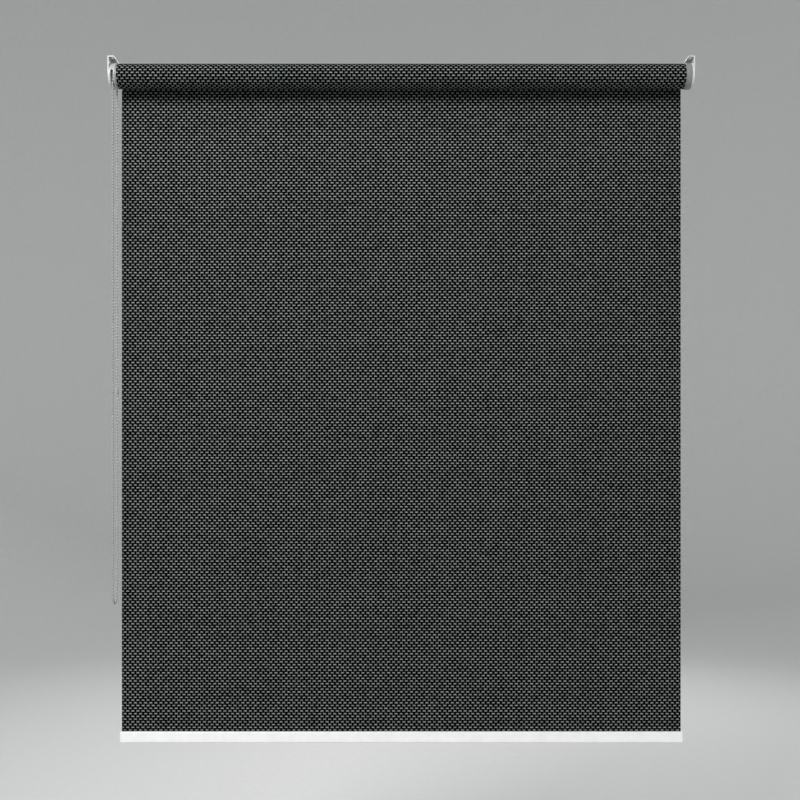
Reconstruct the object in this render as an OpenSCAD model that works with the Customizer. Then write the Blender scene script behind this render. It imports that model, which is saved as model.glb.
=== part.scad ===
// Chain-operated roller blind, fully lowered.
// +X runs along the roller towards the idle end, -Y faces the room, +Z is up.
// The origin lies in the plane of the window head, midway between the two brackets.

/* [Overall] */
// Width between the outer faces of the two brackets
overall_w = 1146; // [600:1:2400]
// Height from the window head down to the underside of the bottom bar
drop = 1352; // [700:1:2400]

/* [Brackets] */
// Height from the window head down to the roller's axis
axis_drop = 32.5; // [32:0.5:45]
// Thickness of the bracket's side plate
plate_t = 2; // [1.5:0.1:3]
// Thickness of the flange that lies against the window head
flange_t = 2; // [1.5:0.1:3]
// Reach of that flange from the outer face
flange_w = 12; // [12:0.5:20]
// Height of the round rim above the outer face
rim_h = 4; // [3:0.1:5]
// Wall of the round rim and of the end guards
rim_wall = 1.6; // [1.2:0.1:2]
// How far the rims and guards stand outside the fabric roll
rim_over = 1; // [0.5:0.1:3]
// Diameter of the fixing holes
hole_d = 4.5; // [3.5:0.1:5.5]
// Distance between the two fixing holes of one bracket
hole_gap = 32; // [24:1:36]
// Distance from the outer face to the fixing holes
hole_in = 7.5; // [7:0.1:9]

/* [Roller tube] */
// Outer diameter of the tube
tube_d = 45; // [37:0.5:54]
// Wall of the tube
tube_wall = 1.5; // [1.2:0.1:2]
// Distance from a bracket's outer face to the end of the tube
side_gap = 15.5; // [14.5:0.1:20]
// Width of the three ribs inside the tube
rib_w = 3; // [2:0.1:4]
// Height of those ribs
rib_h = 2.4; // [1.5:0.1:3]
// Width of the groove's key, which locks the fabric's top edge
key_w = 3; // [2.4:0.1:3.6]
// Height of that key
key_h = 2.2; // [1.8:0.1:2.6]

/* [Fabric] */
// Thickness of the screen fabric
fabric_t = 0.75; // [0.4:0.05:1]
// Turns of fabric left on the roller when the blind is down
wraps = 2; // [1:1:4]

/* [Chain drive] */
// Diameter of one bead
bead_d = 4.5; // [4:0.1:4.5]
// Spacing of the beads
bead_pitch = 6; // [5.8:0.1:6.4]
// Distance from the outer face to the plane of the chain
chain_in = 8; // [8:0.1:9]
// Width of the chain wheel
wheel_w = 8; // [7:0.1:8]
// Width of the slots that the chain leaves the guard by
slot_w = 5.2; // [5:0.1:6]
// Height of the slots' round ends above the roller's axis
slot_top = 3.5; // [0:0.5:8]
// Half width of the web that closes the guard between the two slots
web_half = 9; // [6:0.5:12]
// Radius of the fixed core
core_r = 8; // [7:0.1:8]
// Length of the core from the outer face
core_len = 72; // [68:1:90]
// Thickness of the brake springs' wire
brake_wire = 1.2; // [1:0.1:1.2]

/* [Idle end] */
// Radius of the pin's tip, which stands in the bracket
tip_r = 4; // [3:0.1:4.5]
// Radius of the pin's shaft, which runs in the bush
pin_r = 5; // [4.8:0.1:5.5]
// Length of the bush
bush_len = 20; // [15:1:30]
// How far the pin can be pushed in
pin_travel = 8; // [6:0.5:9]

/* [Bottom bar] */
// Height of the bar
bar_h = 22; // [18:0.5:30]
// Depth of the bar from front to back
bar_d = 10; // [9:0.5:14]
// Wall of the bar
bar_wall = 1.2; // [1:0.1:1.6]
// Radius of the bar's edges
bar_edge = 2.5; // [2:0.1:4]
// Thickness of the end caps' outer plates
cap_t = 3; // [1.5:0.1:4]

/* [Hidden] */
$fn = 96;

// Clearances: pieces that only sit together, pieces that pass each other, shafts in their bores
sit = 0.2;
pass = 0.3;
run = 0.06;
// Overlap that lets a cut run past a face
over = 1;

roll_r = tube_d / 2 + wraps * fabric_t;
rim_r = roll_r + rim_over;
tube_in = tube_d / 2 - tube_wall;
fabric_w = overall_w - 2 * side_gap;

// Core's lugs in the control bracket, and the screw that holds the core
lug_y = 10;
lug_r = 1.6;
screw_r = 2.4;
screw_head_r = 4.4;
screw_len = 16;
recess_len = 4.4;
recess_w = 1;
recess_t = 0.9;

// The tube's ribs and its key channel, seen from the tube's end
rib_angles = [30, 150, 270];
channel_wall = 1.3;
channel_low = tube_d / 2 - key_h - sit - channel_wall;
channel_half = key_w / 2 + sit + channel_wall;

// End flanges of the hub and the plug, just outside the tube
end_t = 1;
end_r = tube_d / 2 + 0.5;
guard_x0 = rim_h + 0.1;
guard_x1 = side_gap - end_t - pass;
guard_floor = guard_x1 - rim_wall;
guard_edge = 1.2;

// Chain wheel, running on the core
pitch_r = 17.3;
pockets = round(2 * PI * pitch_r / bead_pitch);
groove_r = bead_d / 2 + 0.45;
wheel_lip = 2.2;
wheel_r = pitch_r + wheel_lip;
wheel_x0 = chain_in - wheel_w / 2;
wheel_x1 = chain_in + wheel_w / 2;
sleeve_in = core_r + 2;
sleeve_r = sleeve_in + 1.5;
sleeve_len = 32;
sleeve_end = wheel_x1 + sleeve_len;
window_half = 6;
window_x = wheel_x1 + 2;
core_base_r = 14;

// Brake springs, lying on the core inside the wheel's sleeve
brake_turns = 7;
brake_pitch = brake_wire + 0.3;
brake_r = core_r + 1.1;
brake_tang = sleeve_r - brake_wire / 2 - 0.2;
brake_x = [wheel_x1 + 4, wheel_x1 + 18];
tang_angle = 18;

// Drive hub, which the springs turn and which turns the tube
hub_bore = sleeve_r + 0.5;
hub_end = core_len - 5;
hub_wall = 2;
hub_key_w = 3;
clip_x = hub_end + pass;
clip_t = 1;
clip_w = 3.5;
clip_groove = 1;
clip_angle = 300;

// Idle end, measured from the idle bracket's outer face
boss_len = 5;
boss_r = tip_r + 4;
tip_len = 7.5;
tip_x = 0.5;
bush_r = pin_r + 3.1;
collar_r = bush_r - 0.6;
collar_t = 2;
bush_x0 = side_gap - end_t;
collar_x = bush_x0 + bush_len + pass;
idle_wire = 1.2;
idle_turns = 8;
idle_spare = 4.4;
idle_free = idle_turns * idle_wire + pin_travel + idle_spare;
spring_x0 = collar_x + collar_t + sit;
plug_floor = spring_x0 + idle_free + sit;
plug_end = plug_floor + 3;

// The fabric hangs from the rear of the roll and ends on the bar's key
panel_y = roll_r + pass + fabric_t / 2;
bar_z = -drop + bar_h / 2;
hem_r = 2.3;
hem_bore = hem_r + 0.3;
hem_z = bar_h / 2 - bar_wall - hem_bore;
hem_slot = fabric_t + 1;
cap_len = 14;

// Bead chain: route of the closed loop as [Y, Z] from the roller's axis, over the wheel,
// down in front, round the bottom and up behind
CHAIN_ROUTE = [
    [17.3, 0], [16, 6.6], [12.2, 12.2], [6.6, 16], [0, 17.3],
    [-6.6, 16], [-12.2, 12.2], [-16, 6.6], [-17.3, 0],
    [-17.3, -40], [-17.3, -80], [-17.3, -120], [-17.3, -160], [-17.3, -200],
    [-17.3, -240], [-17.3, -290], [-17.3, -340], [-17.3, -390], [-17.3, -440],
    [-17.3, -490], [-17.3, -540], [-17.3, -590], [-17.3, -640], [-17.3, -690],
    [-17.3, -740], [-17.3, -790], [-17.3, -840], [-17.3, -890], [-17.3, -940],
    [-17.3, -980], [-17.2, -1005], [-16.6, -1016], [-14.4, -1026], [-10.6, -1033.5],
    [-5.6, -1038], [0, -1039.5], [5.6, -1038], [10.6, -1033.5], [14.4, -1026],
    [16.6, -1016], [17.2, -1005], [17.3, -980],
    [17.3, -940], [17.3, -890], [17.3, -840], [17.3, -790], [17.3, -740],
    [17.3, -690], [17.3, -640], [17.3, -590], [17.3, -540], [17.3, -490],
    [17.3, -440], [17.3, -390], [17.3, -340], [17.3, -290], [17.3, -240],
    [17.3, -200], [17.3, -160], [17.3, -120], [17.3, -80], [17.3, -40]
];
chain_sides = 8;
connector_z = -620;
connector_len = 12;
connector_r = 3.1;

white = [0.93, 0.93, 0.92];
pale = [0.85, 0.85, 0.84];
charcoal = [0.16, 0.17, 0.17];

// ---- Helpers ----

// Places a control-end piece: X is then the distance inwards from the outer face
module at_control() {
    translate([-overall_w / 2, 0, -axis_drop]) children();
}

// Places an idle-end piece in the same way, from the other bracket
module at_idle() {
    translate([overall_w / 2, 0, -axis_drop]) mirror([1, 0, 0]) children();
}

// Round bar along X
module disc(x0, x1, r) {
    translate([x0, 0, 0]) rotate([0, 90, 0]) cylinder(h = x1 - x0, r = r);
}

// Extrudes a section drawn as (Y, Z) along X
module along(x0, x1) {
    translate([x0, 0, 0]) rotate([90, 0, 90]) linear_extrude(height = x1 - x0) children();
}

module rounded(w, h, r) {
    square([w - 2 * r, h], center = true);
    square([w, h - 2 * r], center = true);
    for (y = [-1, 1], z = [-1, 1])
        translate([y * (w / 2 - r), z * (h / 2 - r)]) circle(r = r);
}

function unit(v) = v / norm(v);

// Ring of a tube around point p, square to direction t, started from direction x
function ring(p, t, x, r, n) =
    let (u = unit(x - (x * t) * t), w = cross(t, u))
    [for (k = [0 : n - 1]) p + r * (cos(360 * k / n) * u + sin(360 * k / n) * w)];

// Tube of radius r along a path; a closed path joins its last ring to its first
module tube_along(path, r, n, closed = false) {
    count = len(path);
    last = count - 1;
    points = [
        for (i = [0 : last])
            let (
                before = path[closed ? (i + last) % count : max(i - 1, 0)],
                after = path[closed ? (i + 1) % count : min(i + 1, last)]
            )
            each ring(path[i], unit(after - before), [1, 0, 0], r, n)
    ];
    sides = [
        for (i = [0 : closed ? last : last - 1], k = [0 : n - 1])
            let (a = i * n, b = ((i + 1) % count) * n, m = (k + 1) % n)
            [a + k, b + k, b + m, a + m]
    ];
    ends = closed ? [] : [
        [for (k = [0 : n - 1]) k],
        [for (k = [n - 1 : -1 : 0]) last * n + k]
    ];
    polyhedron(points = points, faces = concat(sides, ends));
}

// Points of a coil about X from angle a0, over the stated number of degrees
function coil(x0, r, rise, a0, sweep, steps) = [
    for (i = [0 : steps])
        let (a = a0 + sweep * i / steps)
        [x0 + rise * i / steps, r * cos(a), r * sin(a)]
];

// ---- Brackets ----

module bracket_outline() {
    circle(r = rim_r);
    translate([-rim_r, 0]) square([2 * rim_r, axis_drop]);
}

// Side plate with its round rim, and the flange with its two fixing holes
module bracket_blank() {
    difference() {
        union() {
            along(0, plate_t) bracket_outline();
            disc(0, rim_h, rim_r);
            translate([0, -rim_r, axis_drop - flange_t]) cube([flange_w, 2 * rim_r, flange_t]);
        }
        disc(plate_t, rim_h + over, rim_r - rim_wall);
        for (y = [-1, 1])
            translate([hole_in, y * hole_gap / 2, axis_drop - flange_t - over])
                cylinder(h = flange_t + 2 * over, r = hole_d / 2);
    }
}

module control_bracket() {
    color(white) at_control() difference() {
        bracket_blank();
        for (y = [-1, 1])
            translate([0, y * lug_y, 0]) disc(-over, plate_t + over, lug_r + sit);
        disc(-over, plate_t + over, screw_r + sit);
        rotate([0, 90, 0])
            cylinder(h = plate_t, r1 = screw_head_r + sit, r2 = screw_r + sit);
    }
}

// Countersunk screw with a cross recess, flush with the bracket's outer face
module core_screw() {
    color("silver") at_control() difference() {
        union() {
            rotate([0, 90, 0]) cylinder(h = plate_t, r1 = screw_head_r, r2 = screw_r);
            disc(plate_t, screw_len, screw_r);
        }
        for (turn = [0, 90])
            rotate([turn, 0, 0]) translate([-over, -recess_len / 2, -recess_w / 2])
                cube([over + recess_t, recess_len, recess_w]);
    }
}

module idle_bracket() {
    color(white) at_idle() difference() {
        union() {
            bracket_blank();
            disc(0, boss_len, boss_r);
        }
        disc(-over, boss_len + over, tip_r + run);
    }
}

// ---- Guards ----

// Open drum with a rounded edge towards the roller and a hole in its end wall
module guard_drum(hole_r) {
    difference() {
        translate([guard_x0, 0, 0]) rotate([0, 90, 0]) rotate_extrude() {
            square([rim_r - guard_edge, guard_x1 - guard_x0]);
            square([rim_r, guard_x1 - guard_x0 - guard_edge]);
            translate([rim_r - guard_edge, guard_x1 - guard_x0 - guard_edge])
                circle(r = guard_edge);
        }
        disc(guard_x0 - over, guard_floor, rim_r - rim_wall);
        disc(guard_x0, guard_x1 + over, hole_r);
    }
}

module chain_guard() {
    color(white) at_control() difference() {
        guard_drum(sleeve_r + 0.5);
        for (rear = [0, 1])
            mirror([0, rear, 0]) chain_slot();
    }
}

// Slot through the drum's wall in front of the web, with a round upper end
module chain_slot() {
    translate([chain_in, 0, 0]) {
        translate([-slot_w / 2, -rim_r - over, -rim_r - over])
            cube([slot_w, rim_r + over - web_half, rim_r + over + slot_top]);
        translate([0, -web_half, slot_top]) rotate([90, 0, 0])
            cylinder(h = rim_r + over - web_half, r = slot_w / 2);
    }
}

module idle_guard() {
    color(white) at_idle() guard_drum(boss_r + 2);
}

// ---- Chain drive ----

module control_core() {
    color(pale) at_control() difference() {
        union() {
            disc(plate_t, wheel_x0 - pass, core_base_r);
            disc(plate_t, core_len, core_r);
            for (y = [-1, 1])
                translate([0, y * lug_y, 0]) disc(0.2, plate_t + over, lug_r);
        }
        disc(plate_t - over, screw_len + over, screw_r + sit);
        difference() {
            disc(clip_x, clip_x + clip_t + 0.1, core_r + over);
            disc(clip_x - over, clip_x + clip_t + over, core_r - clip_groove);
        }
    }
}

module chain_wheel() {
    color(pale) at_control() difference() {
        union() {
            disc(wheel_x0, wheel_x1, wheel_r);
            disc(wheel_x1, sleeve_end, sleeve_r);
        }
        disc(wheel_x0 - over, wheel_x1 + over, core_r + run);
        disc(wheel_x1, sleeve_end + over, sleeve_in);
        // Groove, round at the bottom and open outwards, so that the chain leaves it freely
        translate([chain_in, 0, 0]) rotate([0, 90, 0]) rotate_extrude() {
            translate([pitch_r, 0]) circle(r = groove_r);
            translate([pitch_r, -groove_r]) square([wheel_lip + over, 2 * groove_r]);
        }
        for (k = [0 : pockets - 1])
            rotate([360 * k / pockets, 0, 0]) translate([0, 0, pitch_r])
                disc(wheel_x0 - over, wheel_x1 + over, bead_d / 2 + sit);
        // Window for the springs' ends and the hub's key
        translate([window_x, -window_half, 0])
            cube([sleeve_end - window_x - over, 2 * window_half, sleeve_r + over]);
    }
}

module brake_springs() {
    a0 = 90 + tang_angle;
    sweep = 360 * brake_turns - 2 * tang_angle;
    color("dimgray") at_control() for (x = brake_x) {
        turns = coil(x, brake_r, brake_turns * brake_pitch, a0, sweep, 12 * brake_turns);
        end_x = x + brake_turns * brake_pitch;
        first = [x, brake_tang * cos(a0), brake_tang * sin(a0)];
        final = [end_x, brake_tang * cos(a0 + sweep), brake_tang * sin(a0 + sweep)];
        tube_along(concat([first], turns, [final]), brake_wire / 2, 6);
    }
}

// Outline that slides into the tube, clear of its ribs and its key channel
module tube_fit() {
    difference() {
        circle(r = tube_in - sit);
        for (a = rib_angles)
            rotate(a) translate([tube_in - rib_h - sit, -rib_w / 2 - sit])
                square([rib_h + over, rib_w + 2 * sit]);
        translate([-channel_half - sit, channel_low - sit])
            square([2 * (channel_half + sit), tube_d / 2]);
    }
}

module drive_hub() {
    color(pale) at_control() {
        difference() {
            union() {
                disc(side_gap - end_t, side_gap, end_r);
                along(side_gap, hub_end) tube_fit();
            }
            disc(side_gap - end_t - over, hub_end - hub_wall, hub_bore);
            disc(hub_end - hub_wall - over, hub_end + over, core_r + run);
        }
        // Key between the springs' ends
        translate([side_gap + 1, -hub_key_w / 2, brake_r + brake_wire / 2 + 0.5])
            cube([sleeve_end - side_gap - 3, hub_key_w, hub_bore - brake_r]);
    }
}

module hub_clip() {
    color("dimgray") at_control()
        translate([clip_x + 0.05, 0, 0]) rotate([0, 90, 0])
            rotate([0, 0, (360 - clip_angle) / 2])
                rotate_extrude(angle = clip_angle)
                    translate([core_r - clip_groove + 0.02, 0]) square([clip_w, clip_t]);
}

// ---- Roller ----

module tube_section() {
    difference() {
        union() {
            difference() {
                circle(r = tube_d / 2);
                circle(r = tube_in);
            }
            for (a = rib_angles)
                rotate(a) translate([tube_in - rib_h, -rib_w / 2])
                    square([rib_h + tube_wall / 2, rib_w]);
            translate([-channel_half, channel_low])
                square([2 * channel_half, tube_d / 2 - tube_wall / 2 - channel_low]);
        }
        translate([-key_w / 2 - sit, tube_d / 2 - key_h - sit])
            square([key_w + 2 * sit, key_h + over]);
    }
}

module roller_tube() {
    color("silver") translate([0, 0, -axis_drop])
        along(-fabric_w / 2, fabric_w / 2) tube_section();
}

// Strip that locks the fabric's top edge in the tube's groove
module fabric_key() {
    color("white") translate([0, 0, -axis_drop])
        along(-fabric_w / 2 + 1, fabric_w / 2 - 1)
            translate([-key_w / 2, tube_d / 2 - key_h - sit / 2]) square([key_w, key_h - sit]);
}

module fabric_roll() {
    color(charcoal) translate([0, 0, -axis_drop]) difference() {
        disc(-fabric_w / 2, fabric_w / 2, roll_r);
        disc(-fabric_w / 2 - over, fabric_w / 2 + over, tube_d / 2);
    }
}

module fabric_panel() {
    low = bar_z + hem_z + hem_r;
    color(charcoal) translate([-fabric_w / 2, panel_y - fabric_t / 2, low])
        cube([fabric_w, fabric_t, -axis_drop - low]);
}

// ---- Bottom bar ----

module bar_section() {
    difference() {
        union() {
            difference() {
                rounded(bar_d, bar_h, bar_edge);
                rounded(bar_d - 2 * bar_wall, bar_h - 2 * bar_wall, bar_edge - bar_wall / 2);
            }
            intersection() {
                translate([0, hem_z]) circle(r = bar_d / 2 - bar_wall / 2);
                square([bar_d - bar_wall, bar_h - bar_wall], center = true);
            }
        }
        translate([0, hem_z]) circle(r = hem_bore);
        translate([-hem_slot / 2, hem_z]) square([hem_slot, bar_h]);
    }
}

module bottom_bar() {
    color(white) translate([0, panel_y, bar_z])
        along(-fabric_w / 2, fabric_w / 2) bar_section();
}

// Round strip in the fabric's hem
module bar_key() {
    color("white") translate([0, panel_y, bar_z + hem_z])
        disc(-fabric_w / 2 + 1, fabric_w / 2 - 1, hem_r);
}

// End cap: an outer plate and a block that fills the bar's lower chamber
module bar_cap() {
    block_w = bar_d - 2 * bar_wall - 2 * sit;
    block_top = hem_z - bar_d / 2;
    block_low = -bar_h / 2 + bar_wall + sit;
    along(-cap_t, 0) rounded(bar_d, bar_h, bar_edge);
    translate([-cap_t / 2, -block_w / 2 + 1, block_low])
        cube([cap_len, block_w - 2, block_top - block_low]);
}

module bar_cap_control() {
    color(white) translate([-fabric_w / 2, panel_y, bar_z]) bar_cap();
}

module bar_cap_idle() {
    color(white) translate([fabric_w / 2, panel_y, bar_z]) mirror([1, 0, 0]) bar_cap();
}

// ---- Idle end ----

module idle_plug() {
    color(pale) at_idle() difference() {
        union() {
            disc(side_gap - end_t, side_gap, end_r);
            along(side_gap, plug_end) tube_fit();
        }
        disc(side_gap - end_t - over, plug_floor, bush_r);
    }
}

module idle_bush() {
    color("dimgray") at_idle() difference() {
        disc(bush_x0, bush_x0 + bush_len, bush_r);
        disc(bush_x0 - over, bush_x0 + bush_len + over, pin_r + run);
    }
}

// Pin with a chamfered tip, a shaft and a collar that the spring pushes on
module idle_pin() {
    tip_end = tip_x + tip_len;
    color("silver") at_idle() {
        translate([tip_x, 0, 0]) rotate([0, 90, 0]) cylinder(h = 1, r1 = tip_r - 1, r2 = tip_r);
        disc(tip_x + 1, tip_end, tip_r);
        disc(tip_end, collar_x, pin_r);
        disc(collar_x, collar_x + collar_t, collar_r);
    }
}

module idle_spring() {
    r = bush_r - idle_wire / 2 - 0.6;
    length = idle_free - idle_wire;
    path = coil(spring_x0 + idle_wire / 2, r, length, 0, 360 * idle_turns, 12 * idle_turns);
    color("dimgray") at_idle() tube_along(path, idle_wire / 2, 6);
}

// ---- Bead chain ----

// The chain as a plain tube of the beads' diameter
module chain_loop() {
    path = [for (p = CHAIN_ROUTE) [chain_in, p[0], p[1]]];
    color("white") at_control() tube_along(path, bead_d / 2, chain_sides, closed = true);
}

// Clip that joins the chain's two ends, on the rear strand
module chain_connector() {
    edge = 1;
    color("white") at_control() translate([chain_in, pitch_r, connector_z]) {
        cylinder(h = connector_len - 2 * edge, r = connector_r, center = true);
        for (side = [0, 1])
            mirror([0, 0, side]) translate([0, 0, connector_len / 2 - edge])
                cylinder(h = edge, r1 = connector_r, r2 = connector_r - edge);
    }
}

control_bracket();
core_screw();
control_core();
chain_guard();
chain_wheel();
brake_springs();
drive_hub();
hub_clip();
roller_tube();
fabric_key();
fabric_roll();
fabric_panel();
bottom_bar();
bar_key();
bar_cap_control();
bar_cap_idle();
idle_plug();
idle_bush();
idle_pin();
idle_spring();
idle_bracket();
idle_guard();
chain_loop();
chain_connector();
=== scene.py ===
# %% [markdown]
# # A chain-operated roller blind
# The blind hangs fully lowered from two white brackets. A dark screen fabric comes down from a
# roller, a white bar weights its hem, and an endless bead chain on the left turns the roller.
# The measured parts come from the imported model, which is loaded first and never moved. This
# lesson gives them their finishes, and models what only looks right as soft or repeated work:
# the hanging cloth, the cloth wound on the roller, the beads and the small moulded ends.

# %% Load the frame
import math

import bpy
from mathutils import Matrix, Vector


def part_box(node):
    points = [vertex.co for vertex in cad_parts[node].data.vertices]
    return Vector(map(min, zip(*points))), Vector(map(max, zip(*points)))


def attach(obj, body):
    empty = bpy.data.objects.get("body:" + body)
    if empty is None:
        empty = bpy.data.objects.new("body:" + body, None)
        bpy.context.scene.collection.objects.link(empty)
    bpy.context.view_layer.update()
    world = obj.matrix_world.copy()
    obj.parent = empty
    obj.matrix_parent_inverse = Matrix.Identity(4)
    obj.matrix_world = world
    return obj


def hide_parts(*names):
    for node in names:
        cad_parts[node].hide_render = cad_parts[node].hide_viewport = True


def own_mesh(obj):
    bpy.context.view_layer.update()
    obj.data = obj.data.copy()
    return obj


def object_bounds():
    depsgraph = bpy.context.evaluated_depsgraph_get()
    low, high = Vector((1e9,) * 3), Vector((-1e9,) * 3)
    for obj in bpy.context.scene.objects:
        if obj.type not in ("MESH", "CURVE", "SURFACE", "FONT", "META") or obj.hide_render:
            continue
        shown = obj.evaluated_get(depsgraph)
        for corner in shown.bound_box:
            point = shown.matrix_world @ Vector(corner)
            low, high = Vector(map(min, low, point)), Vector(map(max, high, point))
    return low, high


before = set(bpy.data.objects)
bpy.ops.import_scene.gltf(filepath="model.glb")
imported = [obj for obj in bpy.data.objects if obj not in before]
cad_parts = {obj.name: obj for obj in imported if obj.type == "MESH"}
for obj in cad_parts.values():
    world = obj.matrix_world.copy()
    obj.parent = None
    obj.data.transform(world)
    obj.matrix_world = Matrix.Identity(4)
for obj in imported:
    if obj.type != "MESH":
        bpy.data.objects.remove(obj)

mm = 0.001
scene = bpy.context.scene
cad_low, cad_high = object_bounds()
print("CAD nodes:", len(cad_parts), "box:", tuple(cad_low), tuple(cad_high))

# %% [markdown]
# Every new piece goes where a measured part says. The roller's axis runs along X through the
# middle of the tube, so its height is read from the tube's box, and all other places follow.


tube_low, tube_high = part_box("roller_tube")
tube_r = tube_high.y
axis_z = tube_low.z + tube_r
half_width = tube_high.x
cloth_play = 0.25 * mm
cloth_half = half_width - cloth_play
panel_low, panel_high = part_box("fabric_panel")
panel_y = (panel_low.y + panel_high.y) / 2
cloth_t = panel_high.y - panel_low.y
print(f"axis at z {axis_z:.4f} m, tube radius {tube_r / mm:.1f} mm, cloth {cloth_t / mm:.2f} mm")


# %% [markdown]
# ## The camera
# The eye stands level, a little over two metres in front and a little below the middle of the
# blind. A level camera keeps the blind's sides upright, so the picture is framed by shifting
# the lens a little upwards instead of tilting the camera, as for pictures of buildings.

# %% Camera
eye_distance = 2.192
eye_height = -0.781
camera_data = bpy.data.cameras.new("view_camera")
camera_data.lens = 50
camera_data.sensor_width = 36
camera_data.shift_x = -0.0016
camera_data.shift_y = 0.07
camera = bpy.data.objects.new("view_camera", camera_data)
camera.location = (0, -eye_distance, eye_height)
camera.rotation_euler = (math.radians(90), 0, 0)
scene.collection.objects.link(camera)
scene.camera = camera
print("camera", tuple(camera.location))


# %% [markdown]
# ## Two habits for modelling in code
# An operator acts on everything that is selected, so each piece starts with nothing selected.
# When its shape is done, its place is applied to its mesh: the object itself stays at the
# origin, and patterns that read Object coordinates stay where they were drawn.

# %% Helpers for pieces
def clear_selection():
    if bpy.context.mode != "OBJECT":
        bpy.ops.object.mode_set(mode="OBJECT")
    bpy.ops.object.select_all(action="DESELECT")


def only(piece):
    clear_selection()
    piece.select_set(True)
    bpy.context.view_layer.objects.active = piece


def named(name):
    piece = bpy.context.active_object
    piece.name = name
    piece.data.name = name
    return piece


def settle(piece, smooth_deg=35):
    only(piece)
    bpy.ops.object.transform_apply(location=True, rotation=True, scale=True)
    bpy.ops.object.shade_smooth_by_angle(angle=math.radians(smooth_deg))
    return piece


def apply_modifiers(piece):
    only(piece)
    for modifier in list(piece.modifiers):
        bpy.ops.object.modifier_apply(modifier=modifier.name)


def join(name, *pieces):
    clear_selection()
    for piece in pieces:
        piece.select_set(True)
    bpy.context.view_layer.objects.active = pieces[0]
    bpy.ops.object.join()
    return named(name)


def select_edges(piece, wanted):
    only(piece)
    bpy.ops.object.mode_set(mode="EDIT")
    bpy.ops.mesh.select_mode(type="EDGE")
    bpy.ops.mesh.select_all(action="DESELECT")
    bpy.ops.object.mode_set(mode="OBJECT")
    place = piece.matrix_world
    for edge in piece.data.edges:
        a, b = [place @ piece.data.vertices[i].co for i in edge.vertices]
        edge.select = wanted(a, b)
    bpy.ops.object.mode_set(mode="EDIT")


def bevel_selected(width, segments):
    bpy.ops.mesh.bevel(offset=width, offset_type="OFFSET", segments=segments, profile=0.5)
    bpy.ops.object.mode_set(mode="OBJECT")


# %% [markdown]
# ## The bead chain
# A blind's chain is one endless loop: plastic beads moulded on a cord at an even pitch. It goes
# over the chain wheel, leaves the guard by its two slots and hangs in a long narrow loop. Its
# route is a list of points, in millimetres from the roller's axis: first how far forward or
# back, then how far up or down. Walking along it gives any bead's place and direction.

# %% Route of the chain
ROUTE_YZ = [
    (17.3, 0), (16, 6.6), (12.2, 12.2), (6.6, 16), (0, 17.3),
    (-6.6, 16), (-12.2, 12.2), (-16, 6.6), (-17.3, 0),
    (-17.3, -40), (-17.3, -80), (-17.3, -120), (-17.3, -160), (-17.3, -200),
    (-17.3, -240), (-17.3, -290), (-17.3, -340), (-17.3, -390), (-17.3, -440),
    (-17.3, -490), (-17.3, -540), (-17.3, -590), (-17.3, -640), (-17.3, -690),
    (-17.3, -740), (-17.3, -790), (-17.3, -840), (-17.3, -890), (-17.3, -940),
    (-17.3, -980), (-17.2, -1005), (-16.6, -1016), (-14.4, -1026), (-10.6, -1033.5),
    (-5.6, -1038), (0, -1039.5), (5.6, -1038), (10.6, -1033.5), (14.4, -1026),
    (16.6, -1016), (17.2, -1005), (17.3, -980),
    (17.3, -940), (17.3, -890), (17.3, -840), (17.3, -790), (17.3, -740),
    (17.3, -690), (17.3, -640), (17.3, -590), (17.3, -540), (17.3, -490),
    (17.3, -440), (17.3, -390), (17.3, -340), (17.3, -290), (17.3, -240),
    (17.3, -200), (17.3, -160), (17.3, -120), (17.3, -80), (17.3, -40), (17.3, 0),
]
chain_low, chain_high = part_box("chain_loop")
chain_x = (chain_low.x + chain_high.x) / 2
route = [Vector((chain_x, y * mm, axis_z + z * mm)) for y, z in ROUTE_YZ]
route_length = sum((b - a).length for a, b in zip(route, route[1:]))
wanted_pitch = 6 * mm
bead_count = round(route_length / wanted_pitch)
bead_pitch = route_length / bead_count
print(f"chain: {route_length:.3f} m round, {bead_count} beads, {bead_pitch / mm:.2f} mm apart")


def along_route(distance):
    for a, b in zip(route, route[1:]):
        step = (b - a).length
        if distance <= step:
            return a.lerp(b, distance / step), (b - a).normalized()
        distance -= step
    return route[-1].copy(), (route[-1] - route[-2]).normalized()


# %% [markdown]
# Small repeated shapes are modelled once and copied. Here that shape is one bead, a sphere with
# few faces because it is tiny, joined to the bit of cord that leads to the next bead. Each
# copy's mesh is turned and moved to its place on the route, and all are joined into one chain.
# The connector's place is left free.

# %% One bead, and its copies
bead_d = 4.5 * mm
bead_cord_r = 0.75 * mm
clear_selection()
bpy.ops.mesh.primitive_uv_sphere_add(segments=8, ring_count=6, radius=bead_d / 2)
bead = named("bead")
clear_selection()
bpy.ops.mesh.primitive_cylinder_add(
    vertices=5, radius=bead_cord_r, depth=bead_pitch, location=(0, 0, bead_pitch / 2)
)
bead_unit = settle(join("bead_unit", bead, named("bead_cord")), smooth_deg=60)

connector_low, connector_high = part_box("chain_connector")
connector_gap = 1.2 * mm
beads = []
for i in range(bead_count):
    place, direction = along_route(i * bead_pitch)
    behind = place.y > 0
    if behind and connector_low.z - connector_gap < place.z < connector_high.z + connector_gap:
        continue
    copy = bead_unit.copy()
    copy.data = bead_unit.data.copy()
    turn = direction.to_track_quat("Z", "X").to_matrix().to_4x4()
    turn.translation = place
    copy.data.transform(turn)
    scene.collection.objects.link(copy)
    beads.append(copy)
bpy.data.objects.remove(bead_unit)
bead_chain = join("bead_chain", *beads)
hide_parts("chain_loop")
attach(bead_chain, "brackets")
print("beads:", len(beads), "faces:", len(bead_chain.data.polygons))

# %% [markdown]
# The loop is joined by a small barrel-shaped connector that snaps over the last two beads. It
# starts as a cylinder and its rims are bevelled. Two cuts mark a narrow band round its middle,
# where its two halves meet, and the band is pushed in to leave a shallow ring.

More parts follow.
